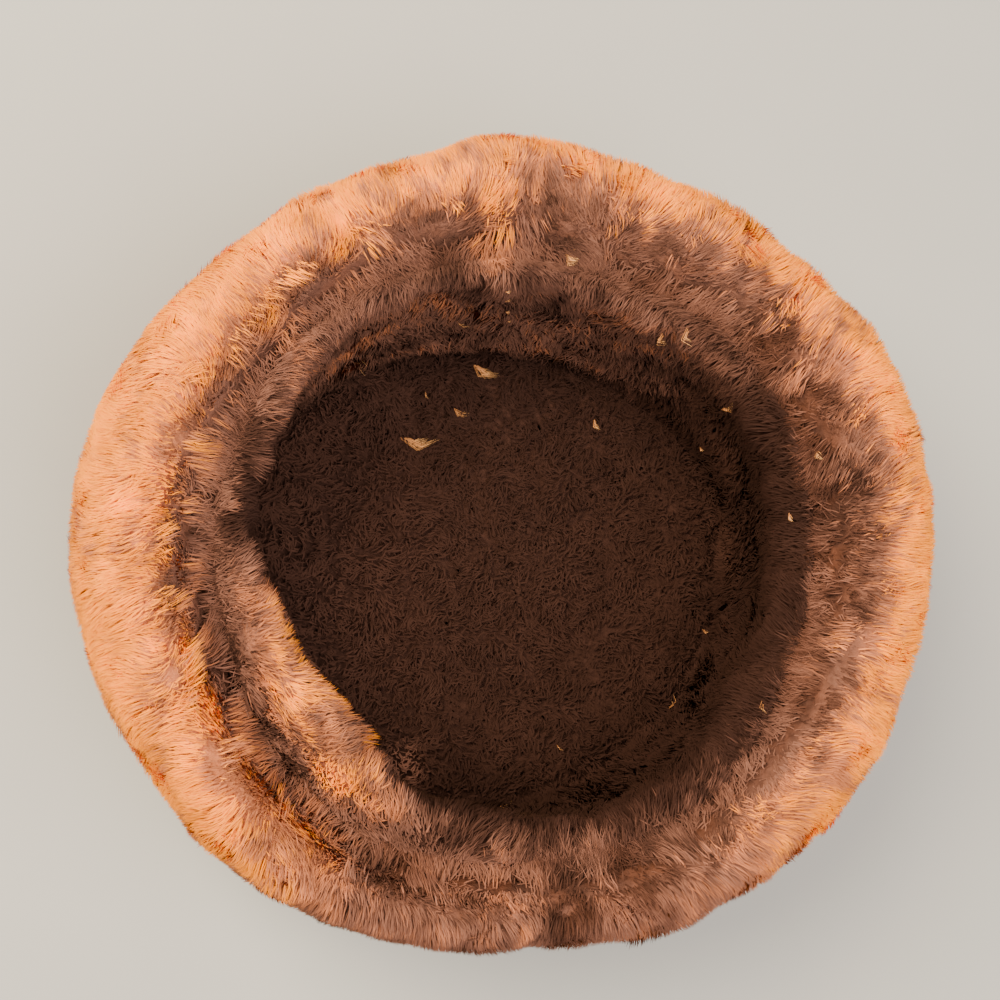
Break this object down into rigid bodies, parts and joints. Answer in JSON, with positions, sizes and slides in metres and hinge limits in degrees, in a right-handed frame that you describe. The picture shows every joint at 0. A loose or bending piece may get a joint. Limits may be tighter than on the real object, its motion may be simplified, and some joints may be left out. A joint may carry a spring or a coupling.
{
  "type": "shearling pillbox hat",
  "caption": "Round shearling hat with a turned-up wool cuff, wool lining and a flat suede crown, lying on its crown.",
  "frame": {"origin": "centre of the crown's flat outer face, which the hat lies on", "axes": "+Z from the crown towards the opening; +X along the widest side"},
  "size_m": [0.2606, 0.2444, 0.1027],
  "materials": {
    "suede": "matt suede",
    "inner_wool": "matted curly wool",
    "outer_wool": "sheared, brushed wool"
  },
  "bodies": {
    "root": {"crown_suede": "suede", "crown_wool": "inner_wool", "band_suede": "suede", "band_wool": "inner_wool", "cuff_suede": "suede", "cuff_wool": "outer_wool"}
  },
  "joints": []
}
